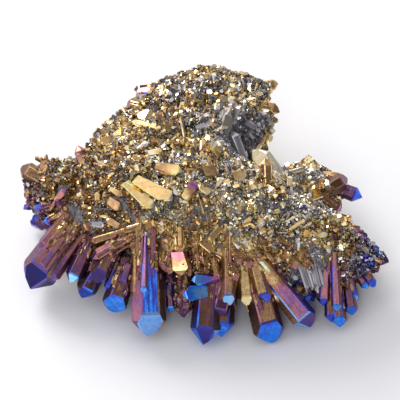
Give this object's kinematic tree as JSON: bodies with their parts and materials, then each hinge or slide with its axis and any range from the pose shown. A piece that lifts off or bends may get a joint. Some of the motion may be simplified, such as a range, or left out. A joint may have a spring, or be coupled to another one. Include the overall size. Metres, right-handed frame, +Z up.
{
  "type": "crystal cluster",
  "caption": "Lobed cluster of vapour-coated quartz: long pointed crystals round its edge, small crystals over its top, and a flat cut underneath that it rests on.",
  "frame": {"origin": "on the flat cut underneath, below the crown that the crystals radiate from", "axes": "+Z up out of the cut, +X along the longest extent, -Y towards the spray of the longest crystals"},
  "size_m": [0.1106, 0.0876, 0.0384],
  "materials": {
    "aura_quartz": "quartz under a thin mirror-bright metal oxide film that shows pale gold on the crown, bronze and magenta lower down, and violet to royal blue on the crystal tips; bare smoky grey in the deep hollows"
  },
  "bodies": {
    "root": {"quartz_cluster": "aura_quartz"}
  },
  "joints": []
}
